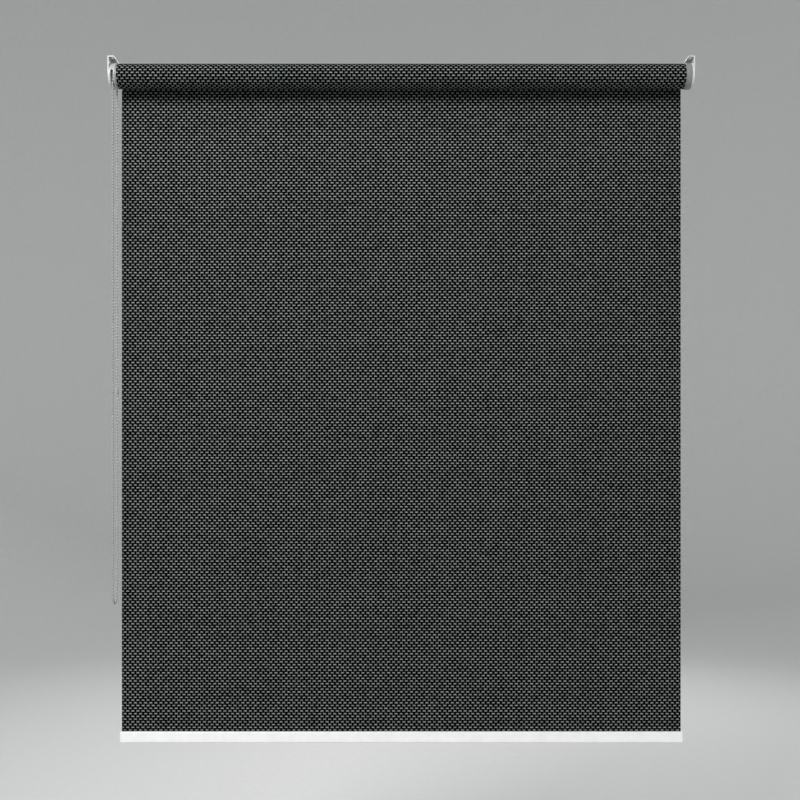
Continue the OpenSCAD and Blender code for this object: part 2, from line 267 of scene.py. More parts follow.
# %% Chain connector
connector_centre = (connector_low + connector_high) / 2
connector_r = (connector_high.x - connector_low.x) / 2
connector_len = connector_high.z - connector_low.z
rim_bevel = 0.9 * mm
ring_half = 0.4 * mm
ring_depth = 0.35 * mm
hair = 1e-6
clear_selection()
bpy.ops.mesh.primitive_cylinder_add(
    vertices=32, radius=connector_r, depth=connector_len, location=connector_centre
)
connector = named("snap_connector")


def on_rim(a, b):
    level = abs(a.z - b.z) < hair
    return level and abs(abs(a.z - connector_centre.z) - connector_len / 2) < hair


select_edges(connector, on_rim)
bevel_selected(rim_bevel, 4)
only(connector)
bpy.ops.object.mode_set(mode="EDIT")
for height, normal in ((-ring_half, 1), (ring_half, -1)):
    bpy.ops.mesh.select_all(action="SELECT")
    bpy.ops.mesh.bisect(
        plane_co=connector_centre + Vector((0, 0, height)), plane_no=(0, 0, normal)
    )
bpy.ops.mesh.select_all(action="DESELECT")
bpy.ops.mesh.select_mode(type="FACE")
bpy.ops.object.mode_set(mode="OBJECT")
for face in connector.data.polygons:
    in_band = abs(face.center.z) < 0.75 * ring_half
    face.select = in_band and abs(face.normal.z) < 0.5
bpy.ops.object.mode_set(mode="EDIT")
bpy.ops.mesh.extrude_region_shrink_fatten(
    TRANSFORM_OT_shrink_fatten={"value": -ring_depth}
)
bpy.ops.object.mode_set(mode="OBJECT")
settle(connector, smooth_deg=40)
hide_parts("chain_connector")
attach(connector, "brackets")
print("connector faces:", len(connector.data.polygons))

# %% [markdown]
# The loop is a free cord that goes back into the object at its far end. The points that it
# follows, one for each bead, are read from its route.

bead_places = [along_route(i * bead_pitch)[0] for i in range(bead_count + 1)]


# %% [markdown]
# ## The stage
# A pale floor rises at its edge in a wide cove, like a studio's paper sweep turned all
# the way round, so there is no horizon behind the blind from any side. It is a disc whose
# border is extruded ring by ring.

# %% Floor with a cove all round
floor_z = -1.95
floor_r = 4.6
cove_r = 1.8
wall_h = 5.8
cove_steps = 10
sweep_sides = 96
clear_selection()
bpy.ops.mesh.primitive_circle_add(
    vertices=sweep_sides, radius=floor_r, fill_type="NGON", location=(0, 0, floor_z)
)
sweep = named("paper_sweep")
only(sweep)
bpy.ops.object.mode_set(mode="EDIT")
bpy.ops.mesh.select_mode(type="EDGE")
bpy.ops.mesh.select_all(action="SELECT")
last_r, last_z = floor_r, floor_z
rings = []
for step in range(1, cove_steps + 1):
    angle = math.pi / 2 * step / cove_steps
    rings.append((
        floor_r + cove_r * math.sin(angle), floor_z + cove_r * (1 - math.cos(angle))
    ))
rings.append((rings[-1][0], rings[-1][1] + wall_h))
bpy.ops.mesh.region_to_loop()
for ring_r, ring_z in rings:
    bpy.ops.mesh.extrude_edges_move(
        TRANSFORM_OT_translate={"value": (0, 0, ring_z - last_z)}
    )
    grow = ring_r / last_r
    bpy.ops.transform.resize(value=(grow, grow, 1))
    last_r, last_z = ring_r, ring_z
bpy.ops.mesh.select_all(action="SELECT")
bpy.ops.mesh.normals_make_consistent(inside=True)
bpy.ops.object.mode_set(mode="OBJECT")
settle(sweep, smooth_deg=60)
print("sweep faces:", len(sweep.data.polygons))


# %% [markdown]
# ## The lights
# Three large soft lights stand in the sweep. The main one is high on the left and in front, so
# the underside of the roller stays dark. A weak one on the right opens the shadows, and one
# behind shows the back of the cloth. The air adds a faint cool light of its own.

# %% Lights
def soft_light(name, place, size, watts):
    data = bpy.data.lights.new(name, "AREA")
    data.shape = "SQUARE"
    data.size = size
    data.energy = watts
    light = bpy.data.objects.new(name, data)
    light.location = place
    light.rotation_mode = "QUATERNION"
    light.rotation_quaternion = (middle - light.location).to_track_quat("-Z", "Y")
    scene.collection.objects.link(light)


middle = (cad_low + cad_high) / 2
soft_light("key_light", place=(-1.8, -3.3, 1.95), size=1.6, watts=210)
soft_light("fill_light", place=(3.0, -2.8, 1.2), size=2.0, watts=16)
soft_light("back_light", place=(0.6, 3.4, 1.4), size=2.4, watts=100)
world = bpy.data.worlds.new("studio_air")
world.use_nodes = True
air = world.node_tree.nodes["Background"]
air.inputs["Color"].default_value = (0.93, 0.96, 1.0, 1)
air.inputs["Strength"].default_value = 0.22
scene.world = world
scene.view_settings.view_transform = "Standard"


# %% [markdown]
# ## Tools for node materials
# A material is a small network. These helpers add a node, wire two sockets, and write a sum as
# one line, so that each finish below reads like a recipe. The Mix node keeps one set of sockets
# for numbers and another for colours, so they are picked by their places in its list.

# %% Helpers for nodes
COLOUR_A, COLOUR_B, COLOUR_RESULT = 6, 7, 2
FLOAT_FACTOR, FLOAT_A, FLOAT_B, FLOAT_RESULT = 0, 2, 3, 0


def add(tree, kind, **settings):
    node = tree.nodes.new(kind)
    for key, value in settings.items():
        setattr(node, key, value)
    return node


def feed(tree, value, socket):
    if isinstance(value, bpy.types.NodeSocket):
        tree.links.new(value, socket)
    else:
        socket.default_value = value


def sum_of(tree, operation, *values):
    node = add(tree, "ShaderNodeMath", operation=operation)
    for value, socket in zip(values, node.inputs):
        feed(tree, value, socket)
    return node.outputs[0]


def fade(tree, value, start, end, low=0.0, high=1.0):
    node = add(tree, "ShaderNodeMapRange", interpolation_type="SMOOTHSTEP")
    feed(tree, value, node.inputs["Value"])
    feed(tree, start, node.inputs["From Min"])
    feed(tree, end, node.inputs["From Max"])
    feed(tree, low, node.inputs["To Min"])
    feed(tree, high, node.inputs["To Max"])
    return node.outputs["Result"]


def noise(tree, vector, scale, detail=3.0, roughness=0.55):
    node = add(tree, "ShaderNodeTexNoise")
    feed(tree, vector, node.inputs["Vector"])
    feed(tree, scale, node.inputs["Scale"])
    node.inputs["Detail"].default_value = detail
    node.inputs["Roughness"].default_value = roughness
    return node.outputs["Fac"]


def stretched(tree, vector, scale):
    node = add(tree, "ShaderNodeMapping")
    feed(tree, vector, node.inputs["Vector"])
    node.inputs["Scale"].default_value = scale
    return node.outputs["Vector"]


def mix_colour(tree, factor, first, second):
    node = add(tree, "ShaderNodeMix", data_type="RGBA")
    feed(tree, factor, node.inputs["Factor"])
    feed(tree, first, node.inputs[COLOUR_A])
    feed(tree, second, node.inputs[COLOUR_B])
    return node.outputs[COLOUR_RESULT]


def object_place(tree):
    return add(tree, "ShaderNodeTexCoord").outputs["Object"]


def new_group(name, inputs, outputs):
    group = bpy.data.node_groups.new(name, "ShaderNodeTree")
    for label, kind, start in inputs:
        socket = group.interface.new_socket(label, in_out="INPUT", socket_type=kind)
        if start is not None:
            socket.default_value = start
    for label, kind in outputs:
        group.interface.new_socket(label, in_out="OUTPUT", socket_type=kind)
    return group, add(group, "NodeGroupInput").outputs, add(group, "NodeGroupOutput").inputs


def use_group(tree, group, **values):
    node = add(tree, "ShaderNodeGroup", node_tree=group)
    for key, value in values.items():
        feed(tree, value, node.inputs[key])
    return node.outputs


def new_finish(name):
    material = bpy.data.materials.new(name)
    material.use_nodes = True
    tree = material.node_tree
    return material, tree, tree.nodes["Principled BSDF"].inputs


FLOAT = "NodeSocketFloat"
VECTOR = "NodeSocketVector"


# %% [markdown]
# ## The weave
# Screen fabric is woven from coated yarns. Here pale weft yarns come up to the face as short
# dashes, and each row is shifted by half a dash, like bricks. Between the dashes lie black warp
# yarns. A node group draws this from one input, the place on the cloth. First it finds the row
# and the dash that a point is in, and how far it is from that dash's middle. A dash droops at
# its ends, where the yarn goes down under its neighbours.

# %% Weave group: rows and dashes
row_height = 5.43 * mm
dash_pitch = 10.2 * mm
filament_d = 0.9 * mm
wobble_scale = 160.0
wobble_reach = 0.7 * mm
end_droop = 1.5
row_middle = 0.54

weave, given, result = new_group(
    "Screen weave",
    [
        ("Place", VECTOR, None), ("Row Height", FLOAT, row_height),
        ("Dash Pitch", FLOAT, dash_pitch), ("Filament", FLOAT, filament_d),
    ],
    [("Dash", FLOAT), ("Tone", FLOAT), ("Link", FLOAT), ("Thread", FLOAT), ("Height", FLOAT)],
)
split = add(weave, "ShaderNodeSeparateXYZ")
feed(weave, given["Place"], split.inputs[0])
wobble = noise(weave, given["Place"], wobble_scale, detail=2.0)
wobble = sum_of(weave, "MULTIPLY_ADD", wobble, wobble_reach, -wobble_reach / 2)
level = sum_of(weave, "ADD", split.outputs["Y"], wobble)
row = sum_of(weave, "DIVIDE", level, given["Row Height"])
row_number = sum_of(weave, "FLOOR", row)
in_row = sum_of(weave, "FRACT", row)
shift = sum_of(weave, "MULTIPLY", sum_of(weave, "FLOORED_MODULO", row_number, 2.0), 0.5)
across = sum_of(weave, "ADD", split.outputs["X"], wobble)
across = sum_of(weave, "DIVIDE", across, given["Dash Pitch"])
across = sum_of(weave, "ADD", across, shift)
dash_number = sum_of(weave, "FLOOR", across)
in_dash = sum_of(weave, "FRACT", across)
off_dash = sum_of(weave, "ABSOLUTE", sum_of(weave, "SUBTRACT", in_dash, 0.5))
droop = sum_of(weave, "MULTIPLY", sum_of(weave, "MULTIPLY", off_dash, off_dash), end_droop)
off_row = sum_of(weave, "SUBTRACT", sum_of(weave, "ADD", in_row, droop), row_middle)
off_row = sum_of(weave, "ABSOLUTE", off_row)
print("row", row_height / mm, "mm, dash pitch", dash_pitch / mm, "mm")

# %% [markdown]
# No two dashes of a real weave are equally long or bright. White noise gives one chance value
# to each dash and one to each row, and a slow noise makes faint upright streaks, where a warp
# yarn lies a little tighter. The dash mask fades at its ends and along its edges, so a dash
# looks round and not cut out.

# %% Weave group: every dash its own
shortest_half, half_spread, full_half = 0.285, 0.07, 0.2
row_edge, row_core, corner_cut = 0.3, 0.08, 0.25
darkest_tone, tone_spread, row_spread = 0.62, 0.38, 0.22
streak_size, streak_spread, streak_low = (9.0, 1.2, 1.0), 0.3, 0.86
cell = add(weave, "ShaderNodeCombineXYZ")
feed(weave, dash_number, cell.inputs["X"])
feed(weave, row_number, cell.inputs["Y"])
dash_luck = add(weave, "ShaderNodeTexWhiteNoise", noise_dimensions="2D")
feed(weave, cell.outputs[0], dash_luck.inputs["Vector"])
dash_luck = dash_luck.outputs["Value"]
row_luck = add(weave, "ShaderNodeTexWhiteNoise", noise_dimensions="1D")
feed(weave, row_number, row_luck.inputs["W"])

half_dash = sum_of(weave, "MULTIPLY_ADD", dash_luck, half_spread, shortest_half)
across_mask = fade(weave, off_dash, half_dash, full_half)
row_reach = sum_of(weave, "MULTIPLY_ADD", off_dash, corner_cut, off_row)
row_mask = fade(weave, row_reach, row_edge, row_core)
dash_mask = sum_of(weave, "MULTIPLY", across_mask, row_mask)
tone = sum_of(weave, "MULTIPLY_ADD", dash_luck, tone_spread, darkest_tone)
tone = sum_of(weave, "MULTIPLY_ADD", row_luck.outputs["Value"], row_spread, tone)
slow = noise(weave, stretched(weave, given["Place"], streak_size), 1.0, detail=2.0)
streaks = sum_of(weave, "MULTIPLY_ADD", slow, streak_spread, streak_low)
tone = sum_of(weave, "MULTIPLY", tone, streaks)
print("dashes from", 2 * shortest_half, "of their pitch")

# %% [markdown]
# Between the rows short upright bits of yarn link the dashes, broken up by noise. Each yarn is a
# bundle of filaments: a sine across the dash and another across the warp draw them. The group
# puts out its masks and a height, which the material uses for relief, and the material also
# paints shade into the hollows between filaments and a faint sheen on their crests.

# %% Weave group: links and filaments
link_edge, link_core = 0.14, 0.04
patch_scale, patch_low, patch_high = 260.0, 0.38, 0.6
dash_rise, filament_rise = 0.7, 0.22
twice = sum_of(weave, "FRACT", sum_of(weave, "MULTIPLY", across, 2.0))
off_link = sum_of(weave, "ABSOLUTE", sum_of(weave, "SUBTRACT", twice, 0.5))
link = fade(weave, off_link, link_edge, link_core)
patches = noise(weave, stretched(weave, given["Place"], (1.0, 0.4, 1.0)), patch_scale)
link = sum_of(weave, "MULTIPLY", link, fade(weave, patches, patch_low, patch_high))


def filaments(distance):
    turns_round = sum_of(weave, "DIVIDE", distance, given["Filament"])
    return sum_of(weave, "SINE", sum_of(weave, "MULTIPLY", turns_round, 2 * math.pi))


thread = add(weave, "ShaderNodeMix", data_type="FLOAT")
feed(weave, dash_mask, thread.inputs[FLOAT_FACTOR])
feed(weave, filaments(split.outputs["X"]), thread.inputs[FLOAT_A])
feed(weave, filaments(level), thread.inputs[FLOAT_B])
thread_value = sum_of(weave, "MULTIPLY_ADD", thread.outputs[FLOAT_RESULT], 0.5, 0.5)
raised = sum_of(weave, "MULTIPLY", dash_mask, dash_rise)
height = sum_of(weave, "MULTIPLY_ADD", thread_value, filament_rise, raised)
for label, value in (("Dash", dash_mask), ("Tone", tone), ("Link", link),
                     ("Thread", thread_value), ("Height", height)):
    feed(weave, value, result[label])
print("weave nodes:", len(weave.nodes))


# %% [markdown]
# The hanging cloth reads Object coordinates, so its pattern keeps its scale while the cloth
# goes up round the roller. The wound cloth reads its own UV map, laid out in metres, so that
# its rows follow the curve and turn with the roller. Both use the same group.

# %% Screen fabric
# The black yarn's two colours are painted shade in the hollows between its filaments and a faint
# painted sheen on their crests. The weft's two colours span each dash's own tone and the same
# painted filament shade.
BLACK_PAINTED_HOLLOW_SHADE, BLACK_PAINTED_CREST_SHEEN = (0.0003, 0.0004, 0.0004, 1), (0.0026, 0.003, 0.003, 1)
LINK_GREY = (0.07, 0.076, 0.074, 1)
WEFT_DARK_TONE_AND_PAINTED_SHADE, WEFT_PALE_TONE_AND_PAINTED_LIGHT = (0.02, 0.023, 0.022, 1), (0.3, 0.322, 0.316, 1)
painted_filament_shade, painted_filament_shade_base = 0.3, 0.78
warp_rough, dash_smooths = 0.72, -0.12
dash_coat, coat_rough = 0.22, 0.45
yarn_relief = 0.3 * mm


def screen_fabric(name, place_of):
    material, tree, shader = new_finish(name)
    sockets = use_group(tree, weave, Place=place_of(tree))
    black_yarn = mix_colour(tree, sockets["Thread"], BLACK_PAINTED_HOLLOW_SHADE, BLACK_PAINTED_CREST_SHEEN)
    link_yarn = mix_colour(tree, sockets["Link"], black_yarn, LINK_GREY)
    # Painted shade between the filaments, scaled by each dash's own tone.
    tone_and_painted_shade = sum_of(tree, "MULTIPLY_ADD", sockets["Thread"], painted_filament_shade, painted_filament_shade_base)
    tone_and_painted_shade = sum_of(tree, "MULTIPLY", tone_and_painted_shade, sockets["Tone"])
    weft = mix_colour(tree, tone_and_painted_shade, WEFT_DARK_TONE_AND_PAINTED_SHADE, WEFT_PALE_TONE_AND_PAINTED_LIGHT)
    feed(tree, mix_colour(tree, sockets["Dash"], link_yarn, weft), shader["Base Color"])
    rough = sum_of(tree, "MULTIPLY_ADD", sockets["Dash"], dash_smooths, warp_rough)
    feed(tree, rough, shader["Roughness"])
    shader["Specular IOR Level"].default_value = 0.0
    shader["Coat Roughness"].default_value = coat_rough
    feed(tree, sum_of(tree, "MULTIPLY", sockets["Dash"], dash_coat), shader["Coat Weight"])
    relief = add(tree, "ShaderNodeBump")
    relief.inputs["Strength"].default_value = 0.5
    relief.inputs["Distance"].default_value = yarn_relief
    feed(tree, sockets["Height"], relief.inputs["Height"])
    feed(tree, relief.outputs["Normal"], shader["Normal"])
    return material


def upright_place(tree):
    parts = add(tree, "ShaderNodeSeparateXYZ")
    feed(tree, object_place(tree), parts.inputs[0])
    flat = add(tree, "ShaderNodeCombineXYZ")
    feed(tree, parts.outputs["X"], flat.inputs["X"])
    feed(tree, parts.outputs["Z"], flat.inputs["Y"])
    return flat.outputs[0]


def cloth_place(tree):
    return add(tree, "ShaderNodeUVMap", uv_map="cloth").outputs["UV"]


hanging_fabric = screen_fabric("screen_fabric_hanging", upright_place)
wound_fabric = screen_fabric("screen_fabric_wound", cloth_place)
print("fabrics:", hanging_fabric.name, wound_fabric.name)


# %% [markdown]
# ## Shared surface effects
# Real surfaces are never even, and the same few effects serve them all, so each is a node group
# with its own sockets. The first is the grain of moulded plastic and powder coat: a coarse
# noise that shades the colour a little, and a fine one for the relief.

# %% Surface grain group
grain, given, result = new_group(
    "Surface grain",
    [("Place", VECTOR, None), ("Size", FLOAT, 900.0)],
    [("Shade", FLOAT), ("Height", FLOAT)],
)
coarse_share = 0.05
fine_part, coarse_part = 0.7, 0.3
coarse_size = sum_of(grain, "MULTIPLY", given["Size"], coarse_share)
coarse = noise(grain, given["Place"], coarse_size, detail=3.0)
fine = noise(grain, given["Place"], given["Size"], detail=2.0)
feed(grain, coarse, result["Shade"])
coarse_relief = sum_of(grain, "MULTIPLY", coarse, coarse_part)
relief = sum_of(grain, "MULTIPLY_ADD", fine, fine_part, coarse_relief)
feed(grain, relief, result["Height"])
print("grain nodes:", len(grain.nodes))

# %% [markdown]
# Corners wear first and catch the light. The Bevel node gives the normal of a rounded copy of
# the surface. Where it disagrees with the true normal there is a corner, and that difference is
# the wear mask. The rounded normal is put out too, so sharp corners get a thin highlight.

# %% Edge wear group
wear, given, result = new_group(
    "Edge wear",
    [("Place", VECTOR, None), ("Radius", FLOAT, 0.5 * mm)],
    [("Mask", FLOAT), ("Rounded", VECTOR)],
)
rounding = add(wear, "ShaderNodeBevel", samples=6)
feed(wear, given["Radius"], rounding.inputs["Radius"])
true_normal = add(wear, "ShaderNodeNewGeometry").outputs["Normal"]
agree = add(wear, "ShaderNodeVectorMath", operation="DOT_PRODUCT")
feed(wear, rounding.outputs["Normal"], agree.inputs[0])
feed(wear, true_normal, agree.inputs[1])
flat_agrees, corner_agrees = 0.995, 0.86
wear_scale, wear_low, wear_high = 260.0, 0.4, 0.62
corner = fade(wear, agree.outputs["Value"], flat_agrees, corner_agrees)
patchy = noise(wear, given["Place"], wear_scale, detail=4.0)
patchy = fade(wear, patchy, wear_low, wear_high)
feed(wear, sum_of(wear, "MULTIPLY", corner, patchy), result["Mask"])
feed(wear, rounding.outputs["Normal"], result["Rounded"])
print("wear nodes:", len(wear.nodes))

# %% [markdown]
# Extruded metal is pulled through a die, which leaves fine lines along it. A noise squeezed
# almost flat along X draws lines that run the whole length of the tube and the bar.

# %% Drawn lines group
drawn, given, result = new_group(
    "Drawn lines",
    [("Place", VECTOR, None), ("Spacing", FLOAT, 1.2 * mm)],
    [("Shade", FLOAT), ("Height", FLOAT)],
)
squeezed_along_x = (0.004, 1.0, 1.0)
density = sum_of(drawn, "DIVIDE", 1.0, given["Spacing"])
line_place = stretched(drawn, given["Place"], squeezed_along_x)
lines = noise(drawn, line_place, density, detail=4.0, roughness=0.7)
feed(drawn, lines, result["Shade"])
feed(drawn, lines, result["Height"])
print("line nodes:", len(drawn.nodes))

# %% [markdown]
# Dust settles on faces that look up. The mask comes from how far the normal points upwards,
# broken into specks, and its strength is an input because handled parts stay cleaner.

# %% Dust group
dust, given, result = new_group(
    "Dust", [("Place", VECTOR, None), ("Amount", FLOAT, 0.3)], [("Mask", FLOAT)]
)
slope_start, slope_full = 0.35, 0.95
speck_scale, speck_low, speck_high = 900.0, 0.42, 0.7
speck_part, even_part = 0.6, 0.4
facing = add(dust, "ShaderNodeSeparateXYZ")
feed(dust, add(dust, "ShaderNodeNewGeometry").outputs["Normal"], facing.inputs[0])
upward = fade(dust, facing.outputs["Z"], slope_start, slope_full)
specks = noise(dust, given["Place"], speck_scale, detail=3.0)
specks = fade(dust, specks, speck_low, speck_high)
film = sum_of(dust, "MULTIPLY_ADD", specks, speck_part, even_part)
film = sum_of(dust, "MULTIPLY", sum_of(dust, "MULTIPLY", film, upward), given["Amount"])
feed(dust, film, result["Mask"])
print("groups:", [g.name for g in bpy.data.node_groups])


# %% [markdown]
# ## Coated, moulded and bare finishes
# One recipe covers every painted or moulded surface: a base shade that grain varies a little,
# wear that lightens the corners, a film of dust, and fine relief on the rounded normal. What
# sets a powder-coated bracket apart from a moulded guard is only its numbers.

# %% Recipe for coated and moulded finishes
DUST_COLOUR = (0.55, 0.53, 0.5, 1)
cloud_shade, line_shade = 0.93, 0.94
wear_strength = 0.55
gloss_spread, dust_dulls = 0.16, 0.4
grain_relief = 0.08 * mm
line_low, line_high, line_most = 0.35, 0.68, 0.5
line_height = 1.5


def grey(value):
    return (value, value * 1.006, value * 0.997, 1)


def darker(colour, by):
    return [channel * by for channel in colour[:3]] + [1]


def solid_finish(name, base, worn, rough, grain_size, relief, dusty=0.2, radius=0.4 * mm,
                 lines=None):
    material, tree, shader = new_finish(name)
    place = object_place(tree)
    texture = use_group(tree, grain, Place=place, Size=grain_size)
    edges = use_group(tree, wear, Place=place, Radius=radius)
    film = use_group(tree, dust, Place=place, Amount=dusty)
    clouds = fade(tree, texture["Shade"], 0.3, 0.7)
    colour = mix_colour(tree, clouds, darker(base, cloud_shade), base)
    height = texture["Height"]
    if lines:
        ribs = use_group(tree, drawn, Place=place, Spacing=lines)
        line_mask = fade(tree, ribs["Shade"], line_low, line_high, low=0.0, high=line_most)
        colour = mix_colour(tree, line_mask, colour, darker(base, line_shade))
        height = sum_of(tree, "MULTIPLY_ADD", ribs["Height"], line_height, height)
    worn_mask = sum_of(tree, "MULTIPLY", edges["Mask"], wear_strength)
    colour = mix_colour(tree, worn_mask, colour, worn)
    colour = mix_colour(tree, film["Mask"], colour, DUST_COLOUR)
    feed(tree, colour, shader["Base Color"])
    dull = sum_of(tree, "MULTIPLY_ADD", texture["Shade"], gloss_spread, rough - gloss_spread / 2)
    dull = sum_of(tree, "MULTIPLY_ADD", film["Mask"], dust_dulls, dull)
    feed(tree, dull, shader["Roughness"])
    bump = add(tree, "ShaderNodeBump")
    bump.inputs["Strength"].default_value = relief
    bump.inputs["Distance"].default_value = grain_relief
    feed(tree, height, bump.inputs["Height"])
    feed(tree, edges["Rounded"], bump.inputs["Normal"])
    feed(tree, bump.outputs["Normal"], shader["Normal"])
    return material


# %% [markdown]
# Each finish is now one line of that recipe. The brackets are powder-coated steel, duller than
# the glossy moulded guards. The idle guard takes a darker copy of the guard's finish, which is
# painted shade for that end. The bar's coat is the whitest thing on the blind and shows the lines
# of its extrusion. Nylon inner parts are creamy, and the sliding bush is black acetal.

# %% Coated and moulded finishes
coated_steel = solid_finish(
    "coated_steel", base=grey(0.6), worn=grey(0.8), rough=0.42, grain_size=700.0, relief=0.35
)
moulded_white = solid_finish(
    "moulded_white", base=(0.82, 0.82, 0.8, 1), worn=(0.92, 0.92, 0.9, 1), rough=0.34,
    grain_size=1500.0, relief=0.2, radius=0.5 * mm
)
guard_plastic = solid_finish(
    "guard_plastic", base=grey(0.38), worn=grey(0.7), rough=0.38, grain_size=1500.0,
    relief=0.2, radius=0.5 * mm
)
# The idle guard is the same moulded plastic as the chain guard; this darker copy of its finish is
# painted shade for the shaded end.
guard_plastic_painted_shade = solid_finish(
    "guard_plastic_painted_shade", base=grey(0.21), worn=grey(0.6), rough=0.38, grain_size=1500.0,
    relief=0.2, radius=0.5 * mm
)
nylon = solid_finish(
    "nylon", base=(0.56, 0.56, 0.54, 1), worn=(0.72, 0.72, 0.7, 1), rough=0.5,
    grain_size=1300.0, relief=0.3, dusty=0.1
)
acetal = solid_finish(
    "acetal", base=grey(0.036), worn=grey(0.12), rough=0.36, grain_size=1100.0, relief=0.2,
    dusty=0.1
)
chain_plastic = solid_finish(
    "chain_plastic", base=grey(0.36), worn=grey(0.5), rough=0.3, grain_size=1800.0,
    relief=0.15, dusty=0.1, radius=0.2 * mm
)
coated_bar = solid_finish(
    "coated_bar", base=(0.86, 0.86, 0.85, 1), worn=(0.93, 0.93, 0.92, 1), rough=0.36,
    grain_size=900.0, relief=0.25, radius=0.6 * mm, lines=1.6 * mm
)
print("coated and moulded finishes:", coated_steel.name, "to", coated_bar.name)


# %% [markdown]
# Bare metal is fully metallic. The tube and the pin show lines from drawing, the screw and the
# clip have the blotchy bloom of zinc, and the springs are dark oiled wire.

# %% Metal finishes
BRIGHT_EDGE = (0.86, 0.87, 0.87, 1)
metal_wear_r = 0.3 * mm
metal_gloss_spread = 0.2
line_relief = 0.05 * mm


def metal_finish(name, base, dark, rough, along=None, patch=None):
    material, tree, shader = new_finish(name)
    place = object_place(tree)
    edges = use_group(tree, wear, Place=place, Radius=metal_wear_r)
    if along:
        pattern = use_group(tree, drawn, Place=place, Spacing=along)["Shade"]
    else:
        spangle = add(tree, "ShaderNodeTexVoronoi")
        feed(tree, place, spangle.inputs["Vector"])
        spangle.inputs["Scale"].default_value = patch
        pattern = spangle.outputs["Distance"]
    colour = mix_colour(tree, fade(tree, pattern, 0.25, 0.75), dark, base)
    colour = mix_colour(tree, edges["Mask"], colour, BRIGHT_EDGE)
    feed(tree, colour, shader["Base Color"])
    shader["Metallic"].default_value = 1.0
    glossiest = rough - metal_gloss_spread / 2
    dull = sum_of(tree, "MULTIPLY_ADD", pattern, metal_gloss_spread, glossiest)
    feed(tree, dull, shader["Roughness"])
    bump = add(tree, "ShaderNodeBump")
    bump.inputs["Strength"].default_value = 0.3
    bump.inputs["Distance"].default_value = line_relief
    feed(tree, pattern, bump.inputs["Height"])
    feed(tree, edges["Rounded"], bump.inputs["Normal"])
    feed(tree, bump.outputs["Normal"], shader["Normal"])
    return material


drawn_aluminium = metal_finish(
    "drawn_aluminium", base=(0.78, 0.79, 0.8, 1), dark=(0.6, 0.61, 0.62, 1), rough=0.36,
    along=0.9 * mm
)
zinc = metal_finish(
    "zinc", base=(0.66, 0.67, 0.66, 1), dark=(0.45, 0.47, 0.48, 1), rough=0.42, patch=700.0
)
spring_wire = metal_finish(
    "spring_wire", base=(0.3, 0.3, 0.31, 1), dark=(0.16, 0.16, 0.17, 1), rough=0.34,
    patch=1600.0
)
print("metal finishes:", drawn_aluminium.name, zinc.name, spring_wire.name)

# %% [markdown]
# ## Finishes on the measured parts
# The brackets, guards, wheel, core, hub, tube, springs and pin already have their true shape,
# so they stay as they are. Each takes its finish through its own material slots.

# %% Give the measured parts their finishes
FINISH_OF = {
    "control_bracket": coated_steel, "idle_bracket": coated_steel,
    "core_screw": zinc, "hub_clip": zinc, "idle_pin": drawn_aluminium,
    "control_core": nylon, "chain_wheel": nylon, "drive_hub": nylon, "idle_plug": nylon,
    # The idle guard's darker finish is painted shade.
    "chain_guard": guard_plastic, "idle_guard": guard_plastic_painted_shade,
    "brake_springs": spring_wire,
    "roller_tube": drawn_aluminium, "fabric_key": moulded_white, "bar_key": moulded_white,
    "bottom_bar": coated_bar, "idle_bush": acetal,
}


def dress(piece, finish):
    if not piece.material_slots:
        piece.data.materials.append(finish)
    for material_slot in piece.material_slots:
        material_slot.material = finish


for node_name, finish in FINISH_OF.items():
    dress(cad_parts[node_name], finish)
dress(bead_chain, chain_plastic)
dress(connector, chain_plastic)
print("dressed", len(FINISH_OF), "measured parts")

# %% [markdown]
# ## The paper of the stage
# Studio paper is matt and nearly even, with a trace of fibre and slow, faint clouds.

# %% Stage finish
PAPER_DARK, PAPER_LIGHT = (0.66, 0.66, 0.655, 1), (0.69, 0.69, 0.685, 1)
PAPER_CLOUD = (0.67, 0.675, 0.68, 1)
fibre_scale, cloud_scale = 40.0, 0.6
paper, tree, shader = new_finish("studio_paper")
place = object_place(tree)
fibre = fade(tree, noise(tree, place, fibre_scale, detail=4.0), 0.3, 0.7)
clouds = noise(tree, place, cloud_scale, detail=2.0)
clouds = fade(tree, clouds, 0.3, 0.7, low=0.0, high=0.5)
tint = mix_colour(tree, fibre, PAPER_DARK, PAPER_LIGHT)
tint = mix_colour(tree, clouds, tint, PAPER_CLOUD)
feed(tree, tint, shader["Base Color"])
shader["Roughness"].default_value = 0.85
dress(sweep, paper)
print("stage dressed in", paper.name)


# %% [markdown]
# ## The hanging cloth
# The cloth drops from the rear of the roller to the bar. Screen fabric is stiff and heavy, so
# it hangs almost flat: only faint upright waves show, and they die out at the roller and at the
# bar, which both hold it straight. A fine grid is stood upright, its points are moved by those
# waves, and it is given a thickness that leaves room for them.

# %% Hanging cloth
panel_top, panel_bottom = panel_high.z, panel_low.z
panel_drop = panel_top - panel_bottom
grid_columns, grid_rows = 90, 100
clear_selection()
bpy.ops.mesh.primitive_grid_add(
    x_subdivisions=grid_columns, y_subdivisions=grid_rows, size=1,
    location=(0, panel_y, (panel_top + panel_bottom) / 2), rotation=(math.radians(90), 0, 0),
)
hanging_cloth = named("hanging_cloth")
hanging_cloth.scale = (2 * cloth_half, panel_drop, 1)
settle(hanging_cloth)
wave = 0.143 * mm
broad_wave, broad_start = 14.0, 1.1
fine_wave, fine_start = 31.0, -0.4
quick_start = 0.7
room_for_waves = 0.9
for point in hanging_cloth.data.vertices:
    down = (panel_top - point.co.z) / panel_drop
    free = math.sin(math.pi * min(max(down, 0.0), 1.0)) ** quick_start
    ripple = math.sin(point.co.x * broad_wave + broad_start)
    ripple += 0.5 * math.sin(point.co.x * fine_wave + fine_start)
    point.co.y += wave * free * ripple
thickness = hanging_cloth.modifiers.new("thickness", "SOLIDIFY")
thickness.thickness = cloth_t * room_for_waves
thickness.offset = 0
